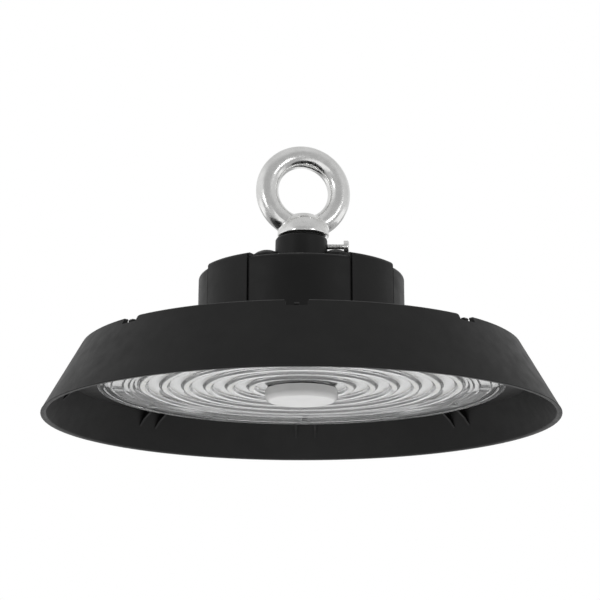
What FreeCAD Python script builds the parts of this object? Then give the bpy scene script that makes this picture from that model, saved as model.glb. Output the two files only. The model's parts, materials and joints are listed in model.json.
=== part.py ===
import FreeCAD, Part
import math
import os

# A high bay light that hangs from an eye bolt, with its shade's rim downwards. Sizes are in millimetres.
# The origin is the middle of the rim's plane, +Z is up, -Y is the front and the locking screw points to +X.
# A bearing is an angle in degrees from the front, turning towards +X.

# Shade: one moulding, a cone with an inner ledge, notches, hooks and pairs of gussets at its stations
RIM_R = 125.0
SHADE_TOP_R = 106.0
SHADE_H = 33.6
SHADE_WALL = 2.5
RIM_ROUND = 0.6
TOP_EDGE_ROUND = 0.4
LEDGE_T = 2.0
LEDGE_W = 11.8
STATIONS = 8
NOTCH_W = 9.5
NOTCH_D = 3.0
NOTCH_FLARE = 0.8
GUSSET_PITCH = 10.4
GUSSET_T = 1.3
GUSSET_REACH = 6.2
GUSSET_DROP = 7.7
GUSSET_HOLLOW = 1.2
HOOK_W = 2.2
HOOK_BITE = 2.2
HOOK_TIP = 1.7
HOOK_TOE = 0.8

# Lens: a clear plate with ring-shaped ribs, a thicker flange and a hole for the centre cap
LENS_Z = 15.0
LENS_EDGE_GAP = 0.9
LENS_PLATE_T = 2.0
LENS_FLANGE_T = 3.0
LENS_FLANGE_W = 18.0
LENS_EDGE_ROUND = 0.6
LENS_HOLE_R = 15.0
LENS_RIB_FIRST_R = 24.1
LENS_RIBS = 6
LENS_RIB_W = 4.3
LENS_RIB_DROP = 2.6
LENS_RIB_TO_FLANGE = 3.8
FASTENER_INSET = 9.9
FASTENERS = 6
BOSS_R = 2.8
BOSS_DROP = 0.7
BOSS_HOLE_DEPTH = 1.8
CLIP_LONG = 9.0
CLIP_WIDE = 4.6
PIN_R = 1.2
PIN_H = 1.6
PIN_PITCH = 6.4
PIN_CLEAR = 0.15

# Centre cap: a milky cup that closes the hole in the lens
CAP_R = 17.6
CAP_DROP = 6.4
CAP_WALL = 1.8
CAP_ROUND = 2.6
CAP_SEAL_T = 0.6
CAP_SEAL_IN_R = 15.6
CAP_SEAL_W = 1.4
CAP_SKIRT_WALL = 1.6
CAP_SKIRT_SHORT = 0.2

# Heat sink: a cast plate with a seat for the lens below, radial fins above and posts for the driver board
GASKET_T = 0.8
GASKET_W = 2.8
GASKET_INSET = 1.2
SEAT_W = 4.0
SEAT_STEP = 1.4
PLATE_T = 4.5
PLATE_GAP = 1.5
BLIND_FLOOR = 0.9
FINS = 48
FIN_H = 7.3
FIN_ROOT_T = 2.4
FIN_TIP_T = 1.4
FIN_GAP = 2.4
FIN_START = 5.0
LONG_FIN_EVERY = 2
SHORT_FIN_START = 18.0

# Light board under the plate and inside its seat, with its chips in rings over the lens ribs
PAD_T = 0.3
BOARD_T = 1.6
BOARD_GAP = 0.6
BOARD_HOLE_R = 9.5
CHIP_SIDE = 3.0
CHIP_T = 0.7
CHIP_SPACING = 9.0
BOARD_SCREWS = 5
BOARD_SCREW_RING = 3
BOARD_SCREW_HEAD_H = 1.0

# Driver housing: a cast cup with four panels, four raised lobes, a ribbed neck between two domed
# pillars, and a cable entry
HOUSING_R = 50.6
HOUSING_DRAFT = 0.3
HOUSING_H = 44.5
HOUSING_WALL = 3.0
HOUSING_TOP_T = 4.0
HOUSING_EDGE = 2.0
HOUSING_GASKET_T = 0.8
FOOT_T = 5.5
FOOT_W = 12.0
LOBES = 4
LOBE_TURN = 45.0
LOBE_HALF_ANGLE = 16.5
LOBE_PROUD = 0.4
LOBE_RISE = 1.8
LOBE_DEPTH = 16.5
GROOVE_W = 1.2
GROOVE_D = 1.0
COLUMN_R = 6.0
COLUMN_INSET = 7.5
POCKET_R = 4.2
NECK_R = 13.2
NECK_TOP_R = 12.8
NECK_H = 20.4
NECK_ROUND = 1.8
BORE_DEPTH = 18.4
NECK_RIBS = 16
NECK_RIB_T = 3.6
NECK_RIB_REACH = 9.6
NECK_RIB_H = 7.4
NECK_RIB_ROUND = 1.0
PILLAR_AT = 16.9
PILLAR_R = 7.2
PILLAR_H = 14.4
PILLAR_DOME_R = 10.4
PILLAR_RELIEF = 0.5

# Eye bolt: forged ring, foot and shank, with a washer under its collar
EYE_X = 0.9
EYE_TURN = 13.5
EYE_HOLE_R = 12.75
EYE_SECTION_R = 5.5
EYE_RISE = 23.0
COLLAR_R = 12.7
COLLAR_H = 1.8
FOOT_SHOULDER_R = 10.7
FOOT_SHOULDER_RISE = 7.0
FOOT_CROWN_R = 6.0
FOOT_CROWN_RISE = 0.7
SHANK_R = 4.85
SHANK_LENGTH = 16.0
WASHER_T = 0.6
WASHER_R = 9.8

# Fasteners, each with a round head and a plain shank where the real one has a thread
M3_R = 1.45
M3_HEAD_R = 2.8
M3_HEAD_H = 1.9
M4_R = 1.95
M4_HEAD_R = 3.5
M4_HEAD_H = 4.0
HEX_SOCKET_R = 1.7
SOCKET_SHARE = 0.55
THREAD_CLEAR = 0.1
HOLE_CLEAR = 0.25
HEAD_CLEAR = 0.7
LOCK_SCREW_LENGTH = 15.0
LOCK_SCREW_Z_DROP = 4.4
LOCK_HEAD_R = 3.1
LOCK_HEAD_H = 2.6
LOCK_HEAD_DOME = 0.9
CROSS_W = 0.9
CROSS_LONG = 3.2
CROSS_D = 1.3
TIP_GAP = 0.1

# Cable entry at the back: body, seal, cap, face ring and inside nut
GLAND_UP = 23.0
GLAND_PAD_R = 13.0
GLAND_PAD_PROUD = 1.9
GLAND_PAD_INSET = 2.6
GLAND_THREAD_R = 7.9
GLAND_BORE_R = 4.6
GLAND_HEX_AF = 22.0
GLAND_FLANGE_T = 5.0
GLAND_STEM = 6.0
GLAND_STEM_R = 7.4
GLAND_CAP_L = 11.0
GLAND_CAP_SKIRT = 6.5
GLAND_CAP_MOUTH_R = 4.8
GLAND_CAP_WALL = 1.6
GLAND_CAP_SLOPE = 0.8
GLAND_RING_T = 1.0
GLAND_RING_W = 2.6
GLAND_NUT_T = 4.0
GLAND_SEAL_BORE_R = 3.4
GLAND_SEAL_WALL = 0.8
GLAND_SEAL_SINK = 3.2

# Driver inside the housing: its parts are laid out for a board of LAYOUT_R and grow and shrink with it
LAYOUT_R = 35.0
POST_R = 3.6
POST_H = 5.0
POST_INSET = 5.0
POSTS = 4
POST_TURN = 45.0
DRIVER_BOARD_GAP = 3.6
DRIVER_BOARD_T = 1.6
SCREW_BITE = 6.0
SHEET_T = 0.4
SHEET_GAP = 2.1
CORE_SIZE = (12.0, 26.0, 20.0)
CORE_WINDOW = (17.0, 12.0)
CORE_LEG_R = 3.4
CORE_PLACE = (-10.0, -2.0)
WINDING_WALL = 4.4
CORE_FIT = 0.3
CAPACITOR_R = 6.3
CAPACITOR_H = 20.0
CAPACITOR_PLACES = ((10.0, -16.0), (23.5, -8.0))
CAPACITOR_BEAD = 0.5
CHOKE_R = 9.4
CHOKE_HOLE_R = 3.4
CHOKE_H = 7.0
CHOKE_ROUND = 1.5
CHOKE_PLACE = (14.0, 8.0)
FILM_SIZE = (6.0, 15.0, 12.0)
FILM_PLACE = (-26.0, 2.0)
TERMINAL_SIZE = (16.0, 8.5, 11.0)
TERMINAL_PLACE = (0.0, 24.5)
TERMINAL_WAYS = 3
TERMINAL_HOLE = 3.6
TERMINAL_HOLE_DEPTH = 5.0
GROMMET_BORE_R = 3.0
GROMMET_R = 5.8
GROMMET_LIP = 2.2
GROMMET_LIP_T = 1.2

# Heights worked out from the sizes above, from the rim up
FLANGE_TOP = LENS_Z + LENS_FLANGE_T
SEAT_Z = FLANGE_TOP + GASKET_T
PLATE_Z = SEAT_Z + SEAT_STEP
PLATE_TOP = PLATE_Z + PLATE_T
LEDGE_Z = PLATE_Z - LEDGE_T
FIN_TOP = PLATE_TOP + FIN_H
NOTCH_Z = SHADE_H - NOTCH_D
BOARD_Z = PLATE_Z - PAD_T - BOARD_T
CHIP_Z = BOARD_Z - CHIP_T
FOOT_Z = PLATE_TOP + HOUSING_GASKET_T
FOOT_TOP = FOOT_Z + FOOT_T
HOUSING_TOP = FOOT_Z + HOUSING_H
CAVITY_TOP = HOUSING_TOP - HOUSING_TOP_T
NECK_TOP = HOUSING_TOP + NECK_H
COLLAR_Z = NECK_TOP + WASHER_T
EYE_Z = COLLAR_Z + EYE_RISE
GLAND_Z = FOOT_Z + GLAND_UP
POST_TOP = PLATE_TOP + POST_H
DRIVER_TOP = POST_TOP + DRIVER_BOARD_T
LOCK_Z = NECK_TOP - LOCK_SCREW_Z_DROP

# Radii worked out from the sizes above
LEDGE_IN_R = RIM_R - (RIM_R - SHADE_TOP_R) * PLATE_Z / SHADE_H - SHADE_WALL - LEDGE_W
LENS_R = LEDGE_IN_R - LENS_EDGE_GAP
LENS_FLANGE_IN_R = LENS_R - LENS_FLANGE_W
LENS_RIB_PITCH = (LENS_FLANGE_IN_R - LENS_RIB_TO_FLANGE - LENS_RIB_FIRST_R) / (LENS_RIBS - 1)
FASTENER_R = LENS_R - FASTENER_INSET
SEAT_R = LENS_R - LENS_EDGE_ROUND
BOARD_R = SEAT_R - SEAT_W - BOARD_GAP
FOOT_IN_R = HOUSING_R - FOOT_W
CAVITY_R = HOUSING_R - HOUSING_DRAFT - HOUSING_WALL
COLUMN_RING_R = HOUSING_R - COLUMN_INSET
SHEET_R = FOOT_IN_R - SHEET_GAP
DRIVER_BOARD_R = FOOT_IN_R - DRIVER_BOARD_GAP
POST_RING_R = DRIVER_BOARD_R - POST_INSET
LAYOUT = DRIVER_BOARD_R / LAYOUT_R
EYE_RING_R = EYE_HOLE_R + EYE_SECTION_R
CAP_Z = LENS_Z - CAP_DROP

UP = FreeCAD.Vector(0, 0, 1)
BACK = FreeCAD.Vector(0, 1, 0)
RIGHT = FreeCAD.Vector(1, 0, 0)
ORIGIN = FreeCAD.Vector(0, 0, 0)


def point(x, y, z):
    return FreeCAD.Vector(x, y, z)


def place(bearing, radius):
    turn = math.radians(bearing)
    return point(radius * math.sin(turn), -radius * math.cos(turn), 0)


def turned(shape, bearing):
    copy = shape.copy()
    copy.rotate(ORIGIN, UP, bearing)
    return copy


def around(shape, count, first=0.0):
    return [turned(shape, first + 360.0 * i / count) for i in range(count)]


def outline(start, *moves):
    """A closed wire in the plane y = 0: a move is (r, z) for a line, or (middle, end) for an arc."""
    edges = []
    here = point(start[0], 0, start[1])
    for move in list(moves) + [start]:
        if isinstance(move[0], tuple):
            middle = point(move[0][0], 0, move[0][1])
            there = point(move[1][0], 0, move[1][1])
            edges.append(Part.Arc(here, middle, there).toShape())
        else:
            there = point(move[0], 0, move[1])
            edges.append(Part.makeLine(here, there))
        here = there
    return Part.Wire(edges)


def turned_from(start, *moves, angle=360.0):
    """A solid of revolution about Z. The outline starts at bearing 90 and turns towards the back."""
    return Part.Face(outline(start, *moves)).revolve(ORIGIN, UP, angle)


def inset(radius):
    """How far the middle of a quarter round lies inside its corner, along each side."""
    return radius * (1 - math.sqrt(0.5))


def disc(radius, low, high, at=(0.0, 0.0)):
    return Part.makeCylinder(radius, high - low, point(at[0], at[1], low), UP)


def ring(outer, inner, low, high):
    return disc(outer, low, high).cut(disc(inner, low, high))


def block(size, centre, low):
    corner = point(centre[0] - size[0] / 2, centre[1] - size[1] / 2, low)
    return Part.makeBox(size[0], size[1], size[2], corner)


def slab(points, thickness):
    """A plate in the front's upright plane x = 0: its points are (r, z), with r measured to the front."""
    corners = [point(-thickness / 2, -r, z) for r, z in points]
    return Part.Face(Part.makePolygon(corners + corners[:1])).extrude(point(thickness, 0, 0))


def hexagon(across, start, length, axis):
    """A hexagonal bar along BACK or UP from a start point."""
    radius = across / math.sqrt(3)
    corners = []
    for i in range(6):
        turn = math.radians(60 * i + 30)
        side = RIGHT * (radius * math.cos(turn))
        rise = (UP if axis == BACK else BACK) * (radius * math.sin(turn))
        corners.append(start + side + rise)
    return Part.Face(Part.makePolygon(corners + corners[:1])).extrude(axis * length)


def shade_r(z):
    return RIM_R - (RIM_R - SHADE_TOP_R) * z / SHADE_H


def shade_in_r(z):
    return shade_r(z) - SHADE_WALL


def fastener_places():
    return [place(360.0 * i / FASTENERS, FASTENER_R) for i in range(FASTENERS)]


def rib_r(i):
    return LENS_RIB_FIRST_R + LENS_RIB_PITCH * i


def board_screw_places():
    step = 360.0 / BOARD_SCREWS
    return [place(step / 2 + step * i, rib_r(BOARD_SCREW_RING - 1)) for i in range(BOARD_SCREWS)]


def post_places():
    return [place(POST_TURN + 360.0 * i / POSTS, POST_RING_R) for i in range(POSTS)]


def column_places():
    return [place(LOBE_TURN + 360.0 * i / LOBES, COLUMN_RING_R) for i in range(LOBES)]


def screw_down(spot, seat, shank_r, length, head_r, head_h):
    """A screw whose head stands on a seat facing up, with a hexagon socket."""
    head = disc(head_r, seat, seat + head_h, (spot.x, spot.y))
    shank = disc(shank_r, seat - length, seat, (spot.x, spot.y))
    socket_low = seat + head_h * (1 - SOCKET_SHARE)
    socket = hexagon(HEX_SOCKET_R * math.sqrt(3), point(spot.x, spot.y, socket_low), head_h, UP)
    return head.fuse(shank).cut(socket)


def make_shade():
    near = inset(RIM_ROUND)
    cone = turned_from(
        (shade_in_r(RIM_ROUND), RIM_ROUND),
        ((shade_in_r(0) + near, near), (shade_in_r(0) + RIM_ROUND, 0.0)),
        (RIM_R - RIM_ROUND, 0.0),
        ((RIM_R - near, near), (shade_r(RIM_ROUND), RIM_ROUND)),
        (shade_r(SHADE_H - TOP_EDGE_ROUND), SHADE_H - TOP_EDGE_ROUND),
        (SHADE_TOP_R - TOP_EDGE_ROUND, SHADE_H),
        (shade_in_r(SHADE_H), SHADE_H),
    )
    ledge = turned_from(
        (LEDGE_IN_R, LEDGE_Z),
        (shade_in_r(LEDGE_Z) + SHADE_WALL / 2, LEDGE_Z),
        (shade_in_r(PLATE_Z) + SHADE_WALL / 2, PLATE_Z),
        (LEDGE_IN_R, PLATE_Z),
    )
    foot_z = LEDGE_Z - GUSSET_DROP
    gusset = slab(
        [
            (shade_in_r(LEDGE_Z) - GUSSET_REACH, LEDGE_Z + LEDGE_T / 2),
            (shade_in_r(LEDGE_Z) - GUSSET_REACH, LEDGE_Z),
            (shade_in_r((foot_z + LEDGE_Z) / 2) - GUSSET_REACH / 2 + GUSSET_HOLLOW, (foot_z + LEDGE_Z) / 2),
            (shade_in_r(foot_z), foot_z),
            (shade_in_r(foot_z) + SHADE_WALL / 2, foot_z),
            (shade_in_r(LEDGE_Z + LEDGE_T / 2) + SHADE_WALL / 2, LEDGE_Z + LEDGE_T / 2),
        ],
        GUSSET_T,
    )
    hook_low = PLATE_TOP + HOLE_CLEAR
    hook_tip = NOTCH_Z + HOOK_TIP
    plate_r = shade_in_r(PLATE_TOP) - PLATE_GAP
    hook = slab(
        [
            (plate_r - HOOK_BITE, hook_low),
            (shade_in_r(hook_low) + SHADE_WALL / 2, hook_low),
            (shade_in_r(NOTCH_Z) + SHADE_WALL / 2, NOTCH_Z),
            (shade_r(NOTCH_Z) - HOOK_TOE, hook_tip - HOOK_TOE),
            (shade_r(NOTCH_Z) - 2 * HOOK_TOE, hook_tip),
            (shade_in_r(NOTCH_Z) - HOOK_TOE, hook_tip),
            (plate_r - HOOK_BITE, hook_low + HOOK_TOE),
        ],
        HOOK_W,
    )
    mouth = SHADE_H + NOTCH_FLARE
    notch = Part.Face(
        Part.makePolygon(
            [
                point(-NOTCH_W / 2, 0, NOTCH_Z),
                point(NOTCH_W / 2, 0, NOTCH_Z),
                point(NOTCH_W / 2, 0, SHADE_H - NOTCH_FLARE),
                point(NOTCH_W / 2 + 2 * NOTCH_FLARE, 0, mouth),
                point(-NOTCH_W / 2 - 2 * NOTCH_FLARE, 0, mouth),
                point(-NOTCH_W / 2, 0, SHADE_H - NOTCH_FLARE),
                point(-NOTCH_W / 2, 0, NOTCH_Z),
            ]
        )
    ).extrude(BACK * -RIM_R)
    gussets = []
    for side in (-1, 1):
        copy = gusset.copy()
        copy.translate(RIGHT * (side * GUSSET_PITCH / 2))
        gussets += around(copy, STATIONS)
    shell = cone.cut(around(notch, STATIONS))
    return shell.fuse([ledge] + gussets + around(hook, STATIONS)).removeSplitter()


def lens_body():
    low = LENS_Z
    moves = [(LENS_HOLE_R, low)]
    for i in range(LENS_RIBS):
        half = LENS_RIB_W / 2
        straight = LENS_RIB_DROP - half
        inner = (rib_r(i) - half, low)
        moves.append(inner)
        moves.append((rib_r(i) - half, low - straight))
        moves.append(((rib_r(i), low - LENS_RIB_DROP), (rib_r(i) + half, low - straight)))
        moves.append((rib_r(i) + half, low))
    near = inset(LENS_EDGE_ROUND)
    moves += [
        (LENS_R - LENS_EDGE_ROUND, low),
        ((LENS_R - near, low + near), (LENS_R, low + LENS_EDGE_ROUND)),
        (LENS_R, FLANGE_TOP),
        (LENS_FLANGE_IN_R, FLANGE_TOP),
        (LENS_FLANGE_IN_R, low + LENS_PLATE_T),
        (LENS_HOLE_R, low + LENS_PLATE_T),
    ]
    return turned_from(moves[0], *moves[1:])


def clip_bearings():
    return [360.0 * (i + 0.5) / FASTENERS for i in range(FASTENERS)]


def pin_places():
    """Two pins on each clip pad, side by side along the flange."""
    spread = math.degrees(PIN_PITCH / 2 / FASTENER_R)
    return [place(b + side * spread, FASTENER_R) for b in clip_bearings() for side in (-1, 1)]


def make_lens():
    added = []
    for spot in fastener_places():
        added.append(disc(BOSS_R, LENS_Z - BOSS_DROP, LENS_Z + BOSS_DROP, (spot.x, spot.y)))
    pad = block((CLIP_LONG, CLIP_WIDE, 2 * BOSS_DROP), (0, -FASTENER_R), LENS_Z - BOSS_DROP)
    for bearing in clip_bearings():
        added.append(turned(pad, bearing))
    for spot in pin_places():
        added.append(disc(PIN_R, FLANGE_TOP, FLANGE_TOP + PIN_H, (spot.x, spot.y)))
    holes = []
    for spot in fastener_places():
        holes.append(disc(M3_R + THREAD_CLEAR, FLANGE_TOP - BOSS_HOLE_DEPTH, FLANGE_TOP, (spot.x, spot.y)))
    return lens_body().fuse(added).cut(holes).removeSplitter()


def make_lens_gasket():
    outer = LENS_R - GASKET_INSET
    return ring(outer, outer - GASKET_W, FLANGE_TOP, SEAT_Z)


def make_lens_screws():
    length = PLATE_TOP - FLANGE_TOP + BOSS_HOLE_DEPTH - TIP_GAP
    return [
        screw_down(spot, PLATE_TOP, M3_R, length, M3_HEAD_R, M3_HEAD_H) for spot in fastener_places()
    ]


def make_centre_cap():
    top = LENS_Z - CAP_SEAL_T
    near = inset(CAP_ROUND)
    skirt_r = LENS_HOLE_R - HOLE_CLEAR
    skirt_top = LENS_Z + LENS_PLATE_T - CAP_SKIRT_SHORT
    return turned_from(
        (0.0, CAP_Z),
        (CAP_R - CAP_ROUND, CAP_Z),
        ((CAP_R - near, CAP_Z + near), (CAP_R, CAP_Z + CAP_ROUND)),
        (CAP_R, top),
        (skirt_r, top),
        (skirt_r, skirt_top),
        (skirt_r - CAP_SKIRT_WALL, skirt_top),
        (skirt_r - CAP_SKIRT_WALL, CAP_Z + CAP_WALL),
        (0.0, CAP_Z + CAP_WALL),
    )


def make_centre_cap_seal():
    return ring(CAP_SEAL_IN_R + CAP_SEAL_W, CAP_SEAL_IN_R, LENS_Z - CAP_SEAL_T, LENS_Z)


def make_heat_sink():
    plate_r = shade_in_r(PLATE_TOP) - PLATE_GAP
    plate = disc(plate_r, PLATE_Z, PLATE_TOP)
    seat = ring(SEAT_R, SEAT_R - SEAT_W, SEAT_Z, PLATE_Z + PLATE_T / 2)
    fin_end = shade_in_r(FIN_TOP) - FIN_GAP
    fins = []
    for i in range(FINS):
        start = HOUSING_R + (FIN_START if i % LONG_FIN_EVERY == 0 else SHORT_FIN_START)
        fins.append(turned(fin_from(start, fin_end), 360.0 * (i + 0.5) / FINS))
    posts = [disc(POST_R, PLATE_Z + PLATE_T / 2, POST_TOP, (s.x, s.y)) for s in post_places()]
    holes = [disc(GROMMET_R + HOLE_CLEAR, PLATE_Z, PLATE_TOP)]
    for spot in fastener_places():
        holes.append(disc(M3_R + HOLE_CLEAR, PLATE_Z, PLATE_TOP, (spot.x, spot.y)))
        holes.append(disc(M3_HEAD_R + HEAD_CLEAR, PLATE_TOP, FIN_TOP, (spot.x, spot.y)))
    for spot in post_places():
        holes.append(disc(M3_R + THREAD_CLEAR, POST_TOP - SCREW_BITE, POST_TOP, (spot.x, spot.y)))
    for spot in column_places():
        holes.append(disc(M4_R + THREAD_CLEAR, PLATE_Z + BLIND_FLOOR, PLATE_TOP, (spot.x, spot.y)))
    for spot in board_screw_places():
        holes.append(disc(M3_R + THREAD_CLEAR, PLATE_Z, PLATE_TOP - BLIND_FLOOR, (spot.x, spot.y)))
    return plate.fuse([seat] + fins + posts).cut(holes).removeSplitter()


def fin_from(start, end):
    """One upright fin at the front, thicker at its root, from a start radius to an end radius."""
    low = PLATE_TOP - PLATE_T / 2
    root = FIN_ROOT_T / 2
    tip = FIN_TIP_T / 2
    corners = [
        point(-root, -start, low),
        point(root, -start, low),
        point(tip, -start, FIN_TOP),
        point(-tip, -start, FIN_TOP),
    ]
    return Part.Face(Part.makePolygon(corners + corners[:1])).extrude(BACK * (start - end))


def board_sheet(low, high):
    """A sheet of the light board's outline, with a hole for each thing that passes through it."""
    holes = [disc(BOARD_HOLE_R, low, high)]
    for spot in board_screw_places() + fastener_places():
        holes.append(disc(M3_R + HOLE_CLEAR, low, high, (spot.x, spot.y)))
    for spot in pin_places():
        holes.append(disc(PIN_R + PIN_CLEAR, low, high, (spot.x, spot.y)))
    return disc(BOARD_R, low, high).cut(holes)


def make_thermal_pad():
    return board_sheet(PLATE_Z - PAD_T, PLATE_Z)


def make_led_board():
    return board_sheet(BOARD_Z, BOARD_Z + BOARD_T)


def make_led_chips():
    chips = []
    chip = block((CHIP_SIDE, CHIP_SIDE, CHIP_T), (0, 0), CHIP_Z)
    for i in range(LENS_RIBS):
        count = int(2 * math.pi * rib_r(i) / CHIP_SPACING)
        for k in range(count):
            bearing = 360.0 * k / count
            spot = place(bearing, rib_r(i))
            gaps = [spot.distanceToPoint(s) for s in board_screw_places()]
            if min(gaps) < M3_HEAD_R + CHIP_SIDE:
                continue
            copy = turned(chip, bearing)
            copy.translate(spot)
            chips.append(copy)
    return chips


def make_board_screws():
    screws = []
    for spot in board_screw_places():
        head = disc(M3_HEAD_R, BOARD_Z - BOARD_SCREW_HEAD_H, BOARD_Z, (spot.x, spot.y))
        shank = disc(M3_R, BOARD_Z, PLATE_Z + PLATE_T / 2, (spot.x, spot.y))
        screws.append(head.fuse(shank))
    return screws


def make_wire_grommet():
    lip_r = GROMMET_R + GROMMET_LIP
    return turned_from(
        (GROMMET_BORE_R, PLATE_Z - GROMMET_LIP_T),
        (lip_r, PLATE_Z - GROMMET_LIP_T),
        (lip_r, PLATE_Z),
        (GROMMET_R, PLATE_Z),
        (GROMMET_R, PLATE_TOP),
        (lip_r, PLATE_TOP),
        (lip_r, PLATE_TOP + GROMMET_LIP_T),
        (GROMMET_BORE_R, PLATE_TOP + GROMMET_LIP_T),
    )


def neck_rib():
    """A low rib at the front, from inside the neck outwards, with its outer top edges rounded."""
    end = NECK_R + NECK_RIB_REACH
    low = HOUSING_TOP - HOUSING_TOP_T / 2
    high = HOUSING_TOP + NECK_RIB_H
    rib = Part.makeBox(NECK_RIB_T, end - NECK_R / 2, high - low, point(-NECK_RIB_T / 2, -end, low))
    edges = []
    for edge in rib.Edges:
        middle = edge.CenterOfMass
        on_top = abs(middle.z - high) < NECK_RIB_ROUND / 2
        at_back = abs(middle.y + NECK_R / 2) < NECK_RIB_ROUND / 2
        if on_top and not at_back:
            edges.append(edge)
    return rib.makeFillet(NECK_RIB_ROUND, edges)


def neck_pillar():
    """A domed pillar to the right of the neck."""
    crest = HOUSING_TOP + PILLAR_H

    def dome(radius):
        return crest - PILLAR_DOME_R + math.sqrt(PILLAR_DOME_R**2 - radius**2)

    pillar = turned_from(
        (0.0, HOUSING_TOP - HOUSING_TOP_T / 2),
        (PILLAR_R, HOUSING_TOP - HOUSING_TOP_T / 2),
        (PILLAR_R, dome(PILLAR_R)),
        ((PILLAR_R / 2, dome(PILLAR_R / 2)), (0.0, crest)),
    )
    pillar.translate(RIGHT * PILLAR_AT)
    return pillar


def make_driver_housing():
    top_r = HOUSING_R - HOUSING_DRAFT
    near = inset(HOUSING_EDGE)
    body = turned_from(
        (0.0, FOOT_Z),
        (HOUSING_R, FOOT_Z),
        (top_r, HOUSING_TOP - HOUSING_EDGE),
        ((top_r - near, HOUSING_TOP - near), (top_r - HOUSING_EDGE, HOUSING_TOP)),
        (0.0, HOUSING_TOP),
    )
    lobe_r = HOUSING_R + LOBE_PROUD
    lobe_top_r = lobe_r - HOUSING_DRAFT
    lobe_top = HOUSING_TOP + LOBE_RISE
    lobe = turned_from(
        (lobe_r - LOBE_DEPTH, FOOT_Z),
        (lobe_r, FOOT_Z),
        (lobe_top_r, lobe_top - HOUSING_EDGE),
        ((lobe_top_r - near, lobe_top - near), (lobe_top_r - HOUSING_EDGE, lobe_top)),
        (lobe_r - LOBE_DEPTH, lobe_top),
        angle=2 * LOBE_HALF_ANGLE,
    )
    lobes = around(lobe, LOBES, LOBE_TURN - LOBE_HALF_ANGLE)
    pad_out = HOUSING_R + GLAND_PAD_PROUD
    pad_in = CAVITY_R - GLAND_PAD_INSET
    pad = Part.makeCylinder(GLAND_PAD_R, pad_out - pad_in, point(0, pad_in, GLAND_Z), BACK)
    outside = body.fuse(lobes)

    grooves = []
    groove = block((GROOVE_W, 2 * GROOVE_D, HOUSING_H + 2 * LOBE_RISE), (0, -HOUSING_R), FOOT_Z)
    for i in range(LOBES):
        for side in (-1, 1):
            edge_of_lobe = LOBE_TURN + 360.0 * i / LOBES + side * LOBE_HALF_ANGLE
            grooves.append(turned(groove, edge_of_lobe))

    cavity = disc(CAVITY_R, FOOT_TOP, CAVITY_TOP).fuse(disc(FOOT_IN_R, FOOT_Z, FOOT_TOP))
    columns = [disc(COLUMN_R, FOOT_Z, CAVITY_TOP, (s.x, s.y)) for s in column_places()]
    hollow = outside.cut(grooves).cut(cavity)

    neck_near = inset(NECK_ROUND)
    neck = turned_from(
        (0.0, HOUSING_TOP - HOUSING_TOP_T / 2),
        (NECK_R, HOUSING_TOP - HOUSING_TOP_T / 2),
        (NECK_TOP_R, NECK_TOP - NECK_ROUND),
        ((NECK_TOP_R - neck_near, NECK_TOP - neck_near), (NECK_TOP_R - NECK_ROUND, NECK_TOP)),
        (0.0, NECK_TOP),
    )
    ribs = []
    for i in range(NECK_RIBS):
        ribs.append(turned(neck_rib(), 360.0 * i / NECK_RIBS))
    pillars = [neck_pillar(), turned(neck_pillar(), 180.0)]
    whole = hollow.fuse(columns + [pad, neck] + ribs + pillars)

    cuts = [disc(SHANK_R + THREAD_CLEAR, NECK_TOP - BORE_DEPTH, NECK_TOP, (EYE_X, 0.0))]
    cuts.append(Part.makeCylinder(M3_R + THREAD_CLEAR, NECK_R, point(EYE_X, 0, LOCK_Z), RIGHT))
    cuts.append(Part.makeCylinder(M3_R + PILLAR_RELIEF, PILLAR_AT, point(NECK_R, 0, LOCK_Z), RIGHT))
    relief = point(lock_seat_x() - PILLAR_RELIEF, 0, LOCK_Z)
    cuts.append(Part.makeCylinder(LOCK_HEAD_R + PILLAR_RELIEF, PILLAR_AT, relief, RIGHT))
    cuts.append(Part.makeCylinder(GLAND_THREAD_R + HOLE_CLEAR, pad_out, point(0, 0, GLAND_Z), BACK))
    for spot in column_places():
        cuts.append(disc(POCKET_R, FOOT_TOP, lobe_top, (spot.x, spot.y)))
        cuts.append(disc(M4_R + HOLE_CLEAR, FOOT_Z, FOOT_TOP, (spot.x, spot.y)))
    return whole.cut(cuts).removeSplitter()


def make_housing_gasket():
    gasket = ring(HOUSING_R - LOBE_PROUD, FOOT_IN_R, PLATE_TOP, FOOT_Z)
    holes = [disc(M4_R + HOLE_CLEAR, PLATE_TOP, FOOT_Z, (s.x, s.y)) for s in column_places()]
    return gasket.cut(holes)


def make_housing_screws():
    length = FOOT_TOP - PLATE_Z - BLIND_FLOOR - TIP_GAP
    return [screw_down(s, FOOT_TOP, M4_R, length, M4_HEAD_R, M4_HEAD_H) for s in column_places()]


def make_insulating_sheet():
    holes = [disc(GROMMET_R + GROMMET_LIP + HEAD_CLEAR, PLATE_TOP, PLATE_TOP + SHEET_T)]
    for spot in post_places():
        holes.append(disc(POST_R + HOLE_CLEAR, PLATE_TOP, PLATE_TOP + SHEET_T, (spot.x, spot.y)))
    return disc(SHEET_R, PLATE_TOP, PLATE_TOP + SHEET_T).cut(holes)


def make_driver_board():
    holes = [disc(M3_R + HOLE_CLEAR, POST_TOP, DRIVER_TOP, (s.x, s.y)) for s in post_places()]
    return disc(DRIVER_BOARD_R, POST_TOP, DRIVER_TOP).cut(holes)


def make_driver_board_screws():
    length = DRIVER_BOARD_T + SCREW_BITE - TIP_GAP
    return [screw_down(s, DRIVER_TOP, M3_R, length, M3_HEAD_R, M3_HEAD_H) for s in post_places()]


def laid_out(*lengths):
    """Lengths of the driver's layout, scaled to the board."""
    return [length * LAYOUT for length in lengths]


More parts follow.
